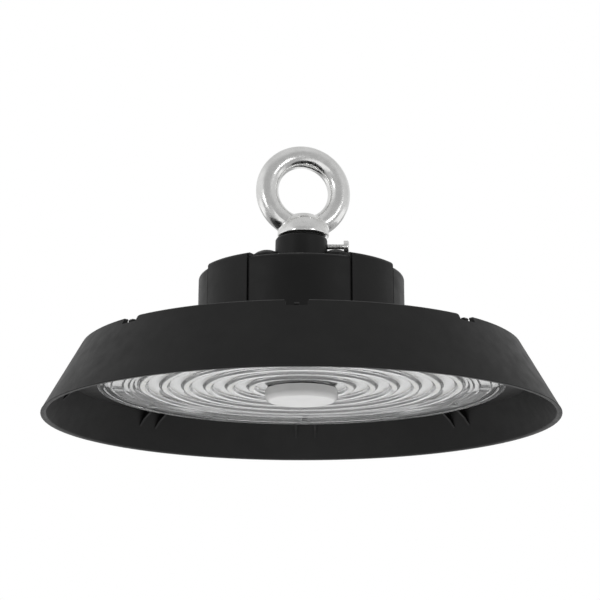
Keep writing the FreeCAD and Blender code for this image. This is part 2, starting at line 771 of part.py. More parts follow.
def make_transformer_core():
    size = laid_out(*CORE_SIZE)
    window = laid_out(*CORE_WINDOW)
    at = laid_out(*CORE_PLACE)
    frame = block(size, at, DRIVER_TOP)
    opening = block((size[0], window[0], window[1]), at, DRIVER_TOP + (size[2] - window[1]) / 2)
    leg = disc(CORE_LEG_R * LAYOUT, DRIVER_TOP, DRIVER_TOP + size[2], at)
    return frame.cut(opening).fuse(leg).removeSplitter()


def make_transformer_winding():
    at = laid_out(*CORE_PLACE)
    core_h, window_h = laid_out(CORE_SIZE[2], CORE_WINDOW[1])
    leg_r, wall = laid_out(CORE_LEG_R, WINDING_WALL)
    low = DRIVER_TOP + (core_h - window_h) / 2
    high = low + window_h - CORE_FIT
    return disc(leg_r + wall, low, high, at).cut(disc(leg_r + CORE_FIT, low, high, at))


def make_bulk_capacitors():
    cans = []
    radius, height, bead = laid_out(CAPACITOR_R, CAPACITOR_H, CAPACITOR_BEAD)
    for spot in CAPACITOR_PLACES:
        can = disc(radius, DRIVER_TOP, DRIVER_TOP + height, laid_out(*spot))
        can = can.makeChamfer(bead, [e for e in can.Edges if e.Closed])
        cans.append(can)
    return cans


def make_line_choke():
    """A wound ring that lies on the board, with its corners bevelled."""
    hole_r, outer_r, height, bevel = laid_out(CHOKE_HOLE_R, CHOKE_R, CHOKE_H, CHOKE_ROUND)
    coil = turned_from(
        (hole_r, 0.0),
        (outer_r - bevel, 0.0),
        (outer_r, bevel),
        (outer_r, height - bevel),
        (outer_r - bevel, height),
        (hole_r, height),
    )
    x, y = laid_out(*CHOKE_PLACE)
    coil.translate(point(x, y, DRIVER_TOP))
    return coil


def make_film_capacitor():
    return block(laid_out(*FILM_SIZE), laid_out(*FILM_PLACE), DRIVER_TOP)


def make_mains_terminal():
    size = laid_out(*TERMINAL_SIZE)
    x, y = laid_out(*TERMINAL_PLACE)
    hole, depth = laid_out(TERMINAL_HOLE, TERMINAL_HOLE_DEPTH)
    top = DRIVER_TOP + size[2]
    cuts = []
    for i in range(TERMINAL_WAYS):
        way_x = x + size[0] / TERMINAL_WAYS * (i + 0.5 - TERMINAL_WAYS / 2)
        cuts.append(block((hole, 2 * depth, hole), (way_x, y + size[1] / 2), DRIVER_TOP + hole / 2))
        cuts.append(disc(hole / 2, top - depth, top, (way_x, y)))
    return block(size, (x, y), DRIVER_TOP).cut(cuts)


def make_eye_bolt():
    """A ring that stands in a domed foot, turned a little about its shank as it was screwed in."""
    ring_low = EYE_Z - EYE_RING_R - EYE_SECTION_R
    eye = Part.makeTorus(EYE_RING_R, EYE_SECTION_R, point(0, 0, EYE_Z), BACK)
    eye = eye.cut(disc(COLLAR_R, ring_low - EYE_SECTION_R, COLLAR_Z))
    crown = EYE_Z - EYE_HOLE_R + FOOT_CROWN_RISE
    foot = turned_from(
        (0.0, COLLAR_Z),
        (COLLAR_R, COLLAR_Z),
        (COLLAR_R, COLLAR_Z + COLLAR_H),
        ((FOOT_SHOULDER_R, COLLAR_Z + FOOT_SHOULDER_RISE), (FOOT_CROWN_R, crown)),
        (0.0, crown),
    )
    shank = disc(SHANK_R, COLLAR_Z - SHANK_LENGTH, COLLAR_Z + COLLAR_H)
    bolt = turned(eye.fuse([foot, shank]).removeSplitter(), EYE_TURN)
    bolt.translate(RIGHT * EYE_X)
    return bolt


def make_eye_washer():
    washer = ring(WASHER_R, SHANK_R + HOLE_CLEAR, NECK_TOP, COLLAR_Z)
    washer.translate(RIGHT * EYE_X)
    return washer


def lock_seat_x():
    """Where the locking screw's head starts, with the screw's tip just off the eye bolt's shank."""
    return EYE_X + SHANK_R + TIP_GAP + LOCK_SCREW_LENGTH


def make_locking_screw():
    seat = lock_seat_x()
    shank = Part.makeCylinder(M3_R, LOCK_SCREW_LENGTH, point(seat - LOCK_SCREW_LENGTH, 0, LOCK_Z), RIGHT)
    head = Part.makeCylinder(LOCK_HEAD_R, LOCK_HEAD_H, point(seat, 0, LOCK_Z), RIGHT)
    face = seat + LOCK_HEAD_H
    rim = [e for e in head.Edges if e.Closed and abs(e.CenterOfMass.x - face) < TIP_GAP]
    head = head.makeFillet(LOCK_HEAD_DOME, rim)
    across = block((2 * CROSS_D, CROSS_LONG, CROSS_W), (face, 0.0), LOCK_Z - CROSS_W / 2)
    upright = block((2 * CROSS_D, CROSS_W, CROSS_LONG), (face, 0.0), LOCK_Z - CROSS_LONG / 2)
    return shank.fuse(head).cut([across, upright])


def gland_face():
    """The place along +Y where the cable entry's pad ends outside."""
    return HOUSING_R + GLAND_PAD_PROUD


def along_back(radius, start, length):
    return Part.makeCylinder(radius, length, point(0, start, GLAND_Z), BACK)


def make_gland_ring():
    start = gland_face()
    outer = along_back(GLAND_THREAD_R + HOLE_CLEAR + GLAND_RING_W, start, GLAND_RING_T)
    return outer.cut(along_back(GLAND_THREAD_R + HOLE_CLEAR, start, GLAND_RING_T))


def make_gland_body():
    flange = gland_face() + GLAND_RING_T
    inside = CAVITY_R - GLAND_PAD_INSET - GLAND_NUT_T - GLAND_RING_T
    hexed = hexagon(GLAND_HEX_AF, point(0, flange, GLAND_Z), GLAND_FLANGE_T, BACK)
    thread = along_back(GLAND_THREAD_R, inside, flange - inside)
    stem = along_back(GLAND_STEM_R, flange, GLAND_FLANGE_T + GLAND_STEM)
    end = flange + GLAND_FLANGE_T + GLAND_STEM
    bore = along_back(GLAND_BORE_R, inside, end - inside)
    socket = along_back(seal_r() + HOLE_CLEAR, end - GLAND_SEAL_SINK, GLAND_SEAL_SINK)
    return hexed.fuse([thread, stem]).cut([bore, socket]).removeSplitter()


def seal_r():
    return GLAND_STEM_R - HOLE_CLEAR - GLAND_SEAL_WALL


def make_gland_seal():
    """A soft ring that sits in the body's socket and reaches up to the cap's inner end."""
    start = gland_face() + GLAND_RING_T + GLAND_FLANGE_T + GLAND_STEM - GLAND_SEAL_SINK
    inside_of_cap = gland_face() + GLAND_RING_T + GLAND_FLANGE_T + HOLE_CLEAR + GLAND_CAP_L - GLAND_CAP_WALL
    length = inside_of_cap - HOLE_CLEAR - start
    return along_back(seal_r(), start, length).cut(along_back(GLAND_SEAL_BORE_R, start, length))


def make_gland_cap():
    start = gland_face() + GLAND_RING_T + GLAND_FLANGE_T + HOLE_CLEAR
    hexed = hexagon(GLAND_HEX_AF, point(0, start, GLAND_Z), GLAND_CAP_SKIRT, BACK)
    nose_r = GLAND_HEX_AF / 2 - GLAND_CAP_SLOPE
    nose = along_back(nose_r, start, GLAND_CAP_L)
    tip = [e for e in nose.Edges if e.Closed and abs(e.CenterOfMass.y - start - GLAND_CAP_L) < TIP_GAP]
    nose = nose.makeFillet(GLAND_CAP_L - GLAND_CAP_SKIRT - HOLE_CLEAR, tip)
    inner = along_back(GLAND_STEM_R + HOLE_CLEAR, start, GLAND_CAP_L - GLAND_CAP_WALL)
    mouth = along_back(GLAND_CAP_MOUTH_R, start, GLAND_CAP_L)
    return hexed.fuse(nose).cut([inner, mouth]).removeSplitter()


def make_gland_nut():
    start = CAVITY_R - GLAND_PAD_INSET - GLAND_NUT_T
    nut = hexagon(GLAND_HEX_AF, point(0, start, GLAND_Z), GLAND_NUT_T, BACK)
    return nut.cut(along_back(GLAND_THREAD_R + THREAD_CLEAR, start, GLAND_NUT_T))


PIECES = {
    "shade": make_shade,
    "lens": make_lens,
    "lens_gasket": make_lens_gasket,
    "lens_screws": make_lens_screws,
    "centre_cap": make_centre_cap,
    "centre_cap_seal": make_centre_cap_seal,
    "heat_sink": make_heat_sink,
    "thermal_pad": make_thermal_pad,
    "led_board": make_led_board,
    "led_chips": make_led_chips,
    "board_screws": make_board_screws,
    "wire_grommet": make_wire_grommet,
    "driver_housing": make_driver_housing,
    "housing_gasket": make_housing_gasket,
    "housing_screws": make_housing_screws,
    "insulating_sheet": make_insulating_sheet,
    "driver_board": make_driver_board,
    "driver_board_screws": make_driver_board_screws,
    "transformer_core": make_transformer_core,
    "transformer_winding": make_transformer_winding,
    "bulk_capacitors": make_bulk_capacitors,
    "line_choke": make_line_choke,
    "film_capacitor": make_film_capacitor,
    "mains_terminal": make_mains_terminal,
    "eye_bolt": make_eye_bolt,
    "eye_washer": make_eye_washer,
    "locking_screw": make_locking_screw,
    "gland_ring": make_gland_ring,
    "gland_body": make_gland_body,
    "gland_seal": make_gland_seal,
    "gland_cap": make_gland_cap,
    "gland_nut": make_gland_nut,
}

os.makedirs("parts", exist_ok=True)
for name, make in PIECES.items():
    made = make()
    shape = Part.makeCompound(made) if isinstance(made, list) else made
    shape.exportStep("parts/" + name + ".step")
    print(name, len(shape.Solids), "solids,", round(shape.Volume / 1000, 2), "cm3,", shape.isValid())
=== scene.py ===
import json
import math

import bmesh
import bpy
from mathutils import Matrix, Vector


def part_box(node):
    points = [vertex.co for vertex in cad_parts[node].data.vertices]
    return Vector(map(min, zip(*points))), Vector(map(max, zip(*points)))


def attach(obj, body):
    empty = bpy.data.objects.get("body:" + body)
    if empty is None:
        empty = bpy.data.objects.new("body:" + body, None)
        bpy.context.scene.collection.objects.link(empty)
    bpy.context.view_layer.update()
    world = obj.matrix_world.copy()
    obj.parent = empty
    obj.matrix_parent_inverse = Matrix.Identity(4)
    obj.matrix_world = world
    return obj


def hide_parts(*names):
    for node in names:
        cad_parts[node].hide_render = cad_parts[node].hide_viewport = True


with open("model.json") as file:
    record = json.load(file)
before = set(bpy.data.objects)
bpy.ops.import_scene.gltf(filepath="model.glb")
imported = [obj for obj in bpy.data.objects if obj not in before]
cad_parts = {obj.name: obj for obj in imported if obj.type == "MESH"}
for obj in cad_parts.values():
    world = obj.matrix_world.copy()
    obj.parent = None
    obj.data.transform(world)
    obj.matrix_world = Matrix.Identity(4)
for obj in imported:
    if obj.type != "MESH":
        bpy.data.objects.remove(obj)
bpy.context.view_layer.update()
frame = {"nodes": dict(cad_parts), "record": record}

MM = 0.001

# Metres within which vertices are joined, and degrees past which an edge of a small block is rounded
WELD = 1e-6
SHARP_ANGLE = 30.0

# Camera: where it stands in metres and degrees, its lens and sensor in millimetres, and its shift
CAMERA_DISTANCE = 0.94636
CAMERA_BELOW = 10.29582
CAMERA_BEARING = 1.11
CAMERA_TILT = 3.48278
CAMERA_LENS = 117.6
SENSOR = 36.0
SHIFT_X = -0.0023

# Floor: its height, its size and the share of plain white that the camera sees on it
FLOOR_Z = -0.42
FLOOR_SIZE = 60.0
FLOOR_GLOW = 0.6

# Brightness of the room and the floor as shiny surfaces see them
SHINE_FRONT = 0.42
SHINE_LEFT = 0.75
SHINE_RIGHT = 0.6
SHINE_BACK = 0.75
SHINE_OVERHEAD = 0.6
SHINE_FLOOR = 0.95
SHINE_FLOOR_SIDES = 0.42

# Brightness of the room for matt surfaces, and through clear pieces
ROOM_FILL = 1.0
SEEN_THROUGH = 1.0

# Where one brightness passes into the next: by direction in the room, by metres from the middle on the floor
TO_SIDES = (0.4, 0.8)
TO_BACK = (0.2, 0.8)
TO_OVERHEAD = (0.6, 0.95)
TO_FLOOR_SIDES = (0.25, 0.6)

# Height that the lamps look at
LAMP_AIM_Z = 0.05

# Values between which most of a noise lies
NOISE_LOW = 0.3
NOISE_HIGH = 0.7

# Lens
LENS_Z = 15.0 * MM
LENS_R = 98.4 * MM
LENS_HOLE_R = 15.0 * MM
LENS_PLATE_T = 2.0 * MM
LENS_FLANGE_T = 3.0 * MM
LENS_FLANGE_IN_R = 80.4 * MM
LENS_RECESS = 1.0 * MM
RIB_FIRST_R = 24.1 * MM
RIB_PITCH = 10.5 * MM
RIBS = 6
RIB_W = 4.6 * MM
RIB_CREST_W = 3.0 * MM
RIB_DROP = 1.3 * MM
RIB_ROUND = 0.45 * MM
FINE_RING_RS = [83.2 * MM, 86.1 * MM, 91.6 * MM, 95.3 * MM]
FINE_RING_W = 1.0 * MM
FINE_RING_D = 0.35 * MM
FASTENER_R = 88.5 * MM
FASTENERS = 6
BOSS_R = 2.8 * MM
BOSS_DROP = 0.7 * MM
CLIP_LONG = 9.0 * MM
CLIP_WIDE = 4.6 * MM
SMALL_EDGE = 0.2 * MM
LENS_STEPS = 256
BOSS_STEPS = 32
# Slots of the lens's plate and ribs: paler copies of the clear finish, painted brightness standing in for
# light that the clear ribs bend
PLATE_PAINTED_PALE_FINISH = 1
RIB_PAINTED_BRIGHT_FINISH = 2

# Eye bolt
EYE_X = 0.9 * MM
EYE_TURN = 13.5
EYE_HOLE_R = 12.65 * MM
EYE_SECTION_R = 5.56 * MM
COLLAR_R = 12.7 * MM
COLLAR_H = 1.8 * MM
SHANK_R = 4.85 * MM
SHANK_LENGTH = 16.0 * MM
EYE_RISE = 23.0 * MM
FOOT_SHOULDER_R = 10.9 * MM
FOOT_SHOULDER_RISE = 7.0 * MM
FOOT_CROWN_R = 6.0 * MM
FOOT_CROWN_RISE = 11.0 * MM
FOOT_ROUND = 2.4 * MM
FORGE_VOXEL = 0.45 * MM
FORGE_SMOOTH = 10
EYE_STEPS = 128
EYE_SECTION_STEPS = 48
FOOT_STEPS = 96
SHANK_STEPS = 64

# Locking screw
SCREW_THREAD_R = 1.45 * MM
SCREW_THREAD_DEPTH = 0.3 * MM
SCREW_THREAD_PITCH = 0.7 * MM
SCREW_LENGTH = 15.0 * MM
SCREW_HEAD_R = 3.1 * MM
SCREW_HEAD_H = 2.6 * MM
SCREW_HEAD_ROUND = 0.9 * MM
CROSS_W = 0.9 * MM
CROSS_LONG = 3.2 * MM
CROSS_D = 1.3 * MM
SCREW_STEPS = 48


def link(name, mesh):
    piece = bpy.data.objects.new(name, mesh)
    bpy.context.scene.collection.objects.link(piece)
    return piece


def mesh_of(name, bm):
    mesh = bpy.data.meshes.new(name)
    bm.to_mesh(mesh)
    bm.free()
    return mesh


def weld(bm):
    """Join vertices that lie on each other, and turn every face outward."""
    bmesh.ops.remove_doubles(bm, verts=bm.verts, dist=WELD)
    bmesh.ops.recalc_face_normals(bm, faces=bm.faces)


def finished(name, bm, smooth_angle):
    """Turn a bmesh into a piece with outward faces, smooth up to an angle."""
    weld(bm)
    mesh = mesh_of(name, bm)
    mesh.shade_smooth()
    mesh.set_sharp_from_angle(angle=math.radians(smooth_angle))
    return link(name, mesh)


def with_modifiers(piece):
    """The mesh that a piece's modifiers make. The piece itself goes."""
    graph = bpy.context.evaluated_depsgraph_get()
    mesh = bpy.data.meshes.new_from_object(piece.evaluated_get(graph))
    bpy.data.objects.remove(piece)
    bm = bmesh.new()
    bm.from_mesh(mesh)
    bpy.data.meshes.remove(mesh)
    return bm


def wire(bm, outline, closed=True):
    """Vertices of an outline of (r, z) points in the plane y = 0, joined by edges."""
    verts = [bm.verts.new((r, 0.0, z)) for r, z in outline]
    pairs = list(zip(verts, verts[1:]))
    if closed:
        pairs.append((verts[-1], verts[0]))
    for pair in pairs:
        bm.edges.new(pair)
    return verts


def round_off(bm, verts, radius, steps):
    """Round corners of a wire."""
    bmesh.ops.bevel(
        bm, geom=verts, offset=radius, offset_type="OFFSET", segments=steps, profile=0.5,
        affect="VERTICES", material=-1,
    )


def soften_edges(bm, verts, radius):
    """Round every sharp edge of a small block."""
    sharp = math.radians(SHARP_ANGLE)
    edges = [edge for vert in verts for edge in vert.link_edges if edge.calc_face_angle(0.0) > sharp]
    bmesh.ops.bevel(
        bm, geom=list(dict.fromkeys(edges)), offset=radius, offset_type="OFFSET", segments=3, profile=0.5,
        affect="EDGES", material=-1,
    )


def spin(bm, steps, axis=(0, 0, 1)):
    """Sweep the wire right round an axis through the origin."""
    bmesh.ops.spin(
        bm, geom=bm.verts[:] + bm.edges[:], cent=(0, 0, 0), axis=axis, dvec=(0, 0, 0),
        angle=2 * math.pi, steps=steps, use_merge=True, use_duplicate=False,
    )


def turn_all(bm, degrees, axis):
    """Turn everything about an axis through the origin."""
    matrix = Matrix.Rotation(math.radians(degrees), 3, axis)
    bmesh.ops.rotate(bm, verts=bm.verts, cent=(0, 0, 0), matrix=matrix)


def move_all(bm, way):
    bmesh.ops.translate(bm, verts=bm.verts, vec=way)


def place(bearing, radius, z):
    """The point at a bearing, in degrees from the front towards the right, and a radius from the axis."""
    turn = math.radians(bearing)
    return Vector((radius * math.sin(turn), -radius * math.cos(turn), z))


def dress(name, material):
    node = frame["nodes"][name]
    node.data.materials.clear()
    node.data.materials.append(material)


def new_piece(piece, node, slot, *materials):
    """Let a piece ride the body in a node's stead, with its finishes."""
    piece.data.materials.clear()
    for material in materials:
        piece.data.materials.append(material)
    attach(piece, "root")
    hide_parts(node)


# Materials


class Finish:
    """A material with its principled shader, object coordinates and a short way to add nodes."""

    def __init__(self, name, colour, roughness, metallic=0.0):
        self.material = bpy.data.materials.new(name)
        self.material.use_nodes = True
        self.nodes = self.material.node_tree.nodes
        self.links = self.material.node_tree.links
        self.shader = self.nodes["Principled BSDF"]
        self.position = self.nodes.new("ShaderNodeTexCoord").outputs["Object"]
        self.shader.inputs["Base Color"].default_value = (*colour, 1.0)
        self.shader.inputs["Roughness"].default_value = roughness
        self.shader.inputs["Metallic"].default_value = metallic

    def noise(self, scale, detail, roughness=0.5):
        node = self.nodes.new("ShaderNodeTexNoise")
        node.inputs["Scale"].default_value = scale
        node.inputs["Detail"].default_value = detail
        node.inputs["Roughness"].default_value = roughness
        self.links.new(self.position, node.inputs["Vector"])
        return node.outputs["Fac"]

    def ramp(self, factor, low, high):
        """Spread a noise between two values."""
        node = self.nodes.new("ShaderNodeMapRange")
        node.inputs["From Min"].default_value = NOISE_LOW
        node.inputs["From Max"].default_value = NOISE_HIGH
        node.inputs["To Min"].default_value = low
        node.inputs["To Max"].default_value = high
        self.links.new(factor, node.inputs["Value"])
        return node.outputs["Result"]

    def mix(self, factor, low, high):
        node = self.nodes.new("ShaderNodeMix")
        node.data_type = "RGBA"
        node.inputs["A"].default_value = (*low, 1.0)
        node.inputs["B"].default_value = (*high, 1.0)
        self.links.new(factor, node.inputs["Factor"])
        return node.outputs["Result"]

    def colour(self, output):
        self.links.new(output, self.shader.inputs["Base Color"])

    def rough(self, output):
        self.links.new(output, self.shader.inputs["Roughness"])

    def bump(self, height, strength, distance):
        node = self.nodes.new("ShaderNodeBump")
        node.inputs["Strength"].default_value = strength
        node.inputs["Distance"].default_value = distance
        self.links.new(height, node.inputs["Height"])
        if self.shader.inputs["Normal"].is_linked:
            self.links.new(self.shader.inputs["Normal"].links[0].from_socket, node.inputs["Normal"])
        self.links.new(node.outputs["Normal"], self.shader.inputs["Normal"])

    def either(self, factor, shader, other):
        """Mix two shaders' outputs."""
        node = self.nodes.new("ShaderNodeMixShader")
        self.links.new(factor, node.inputs["Fac"])
        self.links.new(shader, node.inputs[1])
        self.links.new(other, node.inputs[2])
        return node.outputs["Shader"]

    def nothing(self):
        return self.nodes.new("ShaderNodeBsdfTransparent").outputs["BSDF"]

    def surface(self, output):
        self.links.new(output, self.nodes["Material Output"].inputs["Surface"])

    def let_lamps_through(self):
        """Lamps shine through the clear piece as they do through the real one."""
        shadow = self.nodes.new("ShaderNodeLightPath").outputs["Is Shadow Ray"]
        self.surface(self.either(shadow, self.shader.outputs["BSDF"], self.nothing()))


def satin_black(name, roughness, grain_scale):
    """Black coat or moulding with a fine grain, a little paler and rougher in places."""
    finish = Finish(name, (0.006, 0.006, 0.006), roughness)
    finish.shader.inputs["Specular IOR Level"].default_value = 0.26
    cloud = finish.ramp(finish.noise(38.0, 3.0), 0.0, 1.0)
    finish.colour(finish.mix(cloud, (0.005, 0.005, 0.005), (0.0072, 0.0072, 0.007)))
    finish.rough(finish.ramp(finish.noise(160.0, 3.0), roughness - 0.04, roughness + 0.05))
    finish.bump(finish.noise(grain_scale, 2.0), 0.4, 0.00006)
    return finish.material


def zinc_plate(name, roughness, dent_depth):
    """Bright zinc on forged steel: soft dents, cloudy gloss and fine pits."""
    finish = Finish(name, (0.78, 0.78, 0.77), roughness, 1.0)
    cloud = finish.ramp(finish.noise(190.0, 4.0, 0.6), 0.0, 1.0)
    finish.colour(finish.mix(cloud, (0.84, 0.84, 0.83), (0.95, 0.95, 0.94)))
    finish.rough(finish.ramp(finish.noise(420.0, 4.0, 0.6), roughness - 0.07, roughness + 0.1))
    finish.bump(finish.noise(170.0, 3.0, 0.55), 0.6, dent_depth)
    finish.bump(finish.noise(900.0, 3.0, 0.6), 0.3, dent_depth / 5)
    return finish.material


def dark_steel(name):
    """Dark grey steel of the small screws."""
    finish = Finish(name, (0.09, 0.09, 0.09), 0.35, 1.0)
    finish.rough(finish.ramp(finish.noise(700.0, 3.0), 0.3, 0.45))
    finish.bump(finish.noise(1500.0, 2.0), 0.3, 0.00003)
    return finish.material


def clear_moulding(name, clearness):
    """Clear moulding. What it doesn't let through is white diffuse colour: painted brightness standing in
    for the light that the real clear ribs bend.
    """
    finish = Finish(name, (0.985, 0.99, 0.99), 0.03)
    finish.shader.inputs["Transmission Weight"].default_value = clearness
    finish.shader.inputs["IOR"].default_value = 1.5
    finish.bump(finish.noise(120.0, 2.0), 0.015, 0.0002)
    finish.let_lamps_through()
    return finish.material


def milky_moulding(name):
    finish = Finish(name, (0.66, 0.66, 0.655), 0.08)
    finish.shader.inputs["Specular IOR Level"].default_value = 0.3
    cloud = finish.ramp(finish.noise(90.0, 2.0), 0.0, 1.0)
    finish.colour(finish.mix(cloud, (0.64, 0.64, 0.635), (0.68, 0.68, 0.675)))
    finish.shader.inputs["Subsurface Weight"].default_value = 0.8
    finish.shader.inputs["Subsurface Radius"].default_value = (0.008, 0.008, 0.008)
    finish.bump(finish.noise(220.0, 2.0), 0.05, 0.0002)
    return finish.material


def white_mask(name):
    """White solder mask over aluminium."""
    finish = Finish(name, (0.80, 0.80, 0.79), 0.35)
    cloud = finish.ramp(finish.noise(60.0, 3.0), 0.0, 1.0)
    finish.colour(finish.mix(cloud, (0.82, 0.82, 0.815), (0.88, 0.88, 0.875)))
    finish.bump(finish.noise(900.0, 2.0), 0.15, 0.00004)
    return finish.material


def plain_matt(name, colour, roughness):
    """Rubber, nylon or another plain part with a slight cloud and grain."""
    finish = Finish(name, colour, roughness)
    paler = tuple(min(1.0, c * 1.25 + 0.004) for c in colour)
    finish.colour(finish.mix(finish.ramp(finish.noise(130.0, 3.0), 0.0, 1.0), colour, paler))
    finish.bump(finish.noise(900.0, 2.0), 0.25, 0.00005)
    return finish.material


# Pieces


def lens_wire(bm):
    """The lens's outline: six rounded ribs, fine rings under the flange and a step on its top."""
    low = LENS_Z
    top = low + LENS_FLANGE_T
    valley = low + LENS_RECESS
    plate_top = low + LENS_PLATE_T
    crest = valley - RIB_DROP
    outline = [(LENS_HOLE_R, valley)]
    for i in range(RIBS):
        r = RIB_FIRST_R + RIB_PITCH * i
        outline += [(r - RIB_W / 2, valley), (r - RIB_CREST_W / 2, crest)]
        outline += [(r + RIB_CREST_W / 2, crest), (r + RIB_W / 2, valley)]
    outline += [(LENS_FLANGE_IN_R, valley), (LENS_FLANGE_IN_R + LENS_RECESS, low)]
    for r in FINE_RING_RS:
        outline += [(r - FINE_RING_W / 2, low), (r, low + FINE_RING_D), (r + FINE_RING_W / 2, low)]
    outline += [(LENS_R, low), (LENS_R, top), (LENS_FLANGE_IN_R, top)]
    outline += [(LENS_FLANGE_IN_R, plate_top), (LENS_HOLE_R, plate_top)]
    verts = wire(bm, outline)
    round_off(bm, verts[1 : 4 * RIBS + 1], RIB_ROUND, 6)


def make_lens():
    """The lens with its screw bosses and clip pads. Its plate and its ribs have finishes of their own, paler
    than the flange: painted brightness for light that the clear ribs bend.
    """
    bm = bmesh.new()
    lens_wire(bm)
    spin(bm, LENS_STEPS)
    for i in range(FASTENERS):
        boss = bmesh.ops.create_cone(
            bm, cap_ends=True, segments=BOSS_STEPS, radius1=BOSS_R, radius2=BOSS_R, depth=BOSS_DROP,
            matrix=Matrix.Translation(place(360.0 * i / FASTENERS, FASTENER_R, LENS_Z - BOSS_DROP / 2)),
        )
        soften_edges(bm, boss["verts"], SMALL_EDGE)
        bearing = 360.0 * (i + 0.5) / FASTENERS
        pad = bmesh.ops.create_cube(
            bm, size=1.0,
            matrix=Matrix.Translation(place(bearing, FASTENER_R, LENS_Z - BOSS_DROP / 2))
            @ Matrix.Rotation(math.radians(bearing), 4, "Z")
            @ Matrix.Diagonal((CLIP_LONG, CLIP_WIDE, BOSS_DROP, 1.0)),
        )
        soften_edges(bm, pad["verts"], SMALL_EDGE)
    half_down_a_rib = LENS_Z + LENS_RECESS - RIB_DROP / 2
    # Mask for the painted highlight: ribs and plate take paler, less clear copies of the clear finish
    for face in bm.faces:
        middle = face.calc_center_median()
        if middle.xy.length < LENS_FLANGE_IN_R:
            face.material_index = RIB_PAINTED_BRIGHT_FINISH if middle.z < half_down_a_rib else PLATE_PAINTED_PALE_FINISH
    return finished("ribbed_lens", bm, 30.0)


def forged_blank():
    """Ring and foot pushed into each other, not yet softened, and the height of the collar's underside."""
    collar_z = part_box("eye_bolt")[0].z + SHANK_LENGTH
    foot_bm = bmesh.new()
    verts = wire(
        foot_bm,
        [
            (0.0, collar_z), (COLLAR_R, collar_z), (COLLAR_R, collar_z + COLLAR_H),
            (FOOT_SHOULDER_R, collar_z + FOOT_SHOULDER_RISE), (FOOT_CROWN_R, collar_z + FOOT_CROWN_RISE),
            (0.0, collar_z + FOOT_CROWN_RISE),
        ],
        closed=False,
    )
    shoulder = verts[3]
    round_off(foot_bm, [shoulder], FOOT_ROUND, 4)
    spin(foot_bm, FOOT_STEPS)
    foot = mesh_of("foot", foot_bm)
    bm = bmesh.new()
    bmesh.ops.create_circle(
        bm, cap_ends=False, segments=EYE_SECTION_STEPS, radius=EYE_SECTION_R,
        matrix=Matrix.Translation((EYE_HOLE_R + EYE_SECTION_R, 0, 0)),
    )
    spin(bm, EYE_STEPS, axis=(0, 1, 0))
    turn_all(bm, 90.0, "Y")
    move_all(bm, (0, 0, collar_z + EYE_RISE))
    bm.from_mesh(foot)
    bpy.data.meshes.remove(foot)
    weld(bm)
    return link("forging", mesh_of("forging", bm)), collar_z


def make_eye():
    """Ring, foot, collar and shank, turned a little about the shank as they were screwed in."""
    blank, collar_z = forged_blank()
    remesh = blank.modifiers.new("voxels", "REMESH")
    remesh.mode = "VOXEL"
    remesh.voxel_size = FORGE_VOXEL
    soften = blank.modifiers.new("soften", "SMOOTH")
    soften.factor = 0.5
    soften.iterations = FORGE_SMOOTH
    bm = with_modifiers(blank)
    everything = bm.verts[:] + bm.edges[:] + bm.faces[:]
    bmesh.ops.bisect_plane(
        bm, geom=everything, plane_co=(0, 0, collar_z), plane_no=(0, 0, -1), clear_outer=True,
    )
    bmesh.ops.holes_fill(bm, edges=bm.edges, sides=0)
    bmesh.ops.create_cone(
        bm, cap_ends=True, segments=SHANK_STEPS, radius1=SHANK_R, radius2=SHANK_R,
        depth=SHANK_LENGTH + SMALL_EDGE,
        matrix=Matrix.Translation((0, 0, collar_z + (SMALL_EDGE - SHANK_LENGTH) / 2)),
    )
    turn_all(bm, EYE_TURN, "Z")
    move_all(bm, (EYE_X, 0, 0))
    return finished("forged_eye", bm, 50.0)


def make_locking_screw():
    """A cross-head screw with a threaded shank, lying along X."""
    low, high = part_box("locking_screw")
    middle = Vector((high.x, (low.y + high.y) / 2, (low.z + high.z) / 2))
    root_r = SCREW_THREAD_R - SCREW_THREAD_DEPTH
    bm = bmesh.new()
    outline = [(0.0, -SCREW_LENGTH)]
    for i in range(int(SCREW_LENGTH / SCREW_THREAD_PITCH)):
        root = -SCREW_LENGTH + SCREW_THREAD_PITCH * i
        outline += [(root_r, root), (SCREW_THREAD_R, root + SCREW_THREAD_PITCH / 2)]
    outline += [(root_r, 0.0), (SCREW_HEAD_R, 0.0), (SCREW_HEAD_R, SCREW_HEAD_H), (0.0, SCREW_HEAD_H)]
    verts = wire(bm, outline, closed=False)
    brim = verts[-2]
    round_off(bm, [brim], SCREW_HEAD_ROUND, 5)
    spin(bm, SCREW_STEPS)
    weld(bm)
    turn_all(bm, 90.0, "Y")
    move_all(bm, middle - Vector((SCREW_HEAD_H, 0, 0)))
    screw = link("screw", mesh_of("screw", bm))
    slots = bmesh.new()
    for size in ((2 * CROSS_D, CROSS_LONG, CROSS_W), (2 * CROSS_D, CROSS_W, CROSS_LONG)):
        block = Matrix.Translation(middle) @ Matrix.Diagonal((*size, 1.0))
        bmesh.ops.create_cube(slots, size=1.0, matrix=block)
    cross = link("cross", mesh_of("cross", slots))
    cut = screw.modifiers.new("cut", "BOOLEAN")
    cut.operation = "DIFFERENCE"
    cut.solver = "EXACT"
    cut.use_self = True
    cut.object = cross
    bm = with_modifiers(screw)
    bpy.data.objects.remove(cross)
    return finished("cross_head_screw", bm, 40.0)


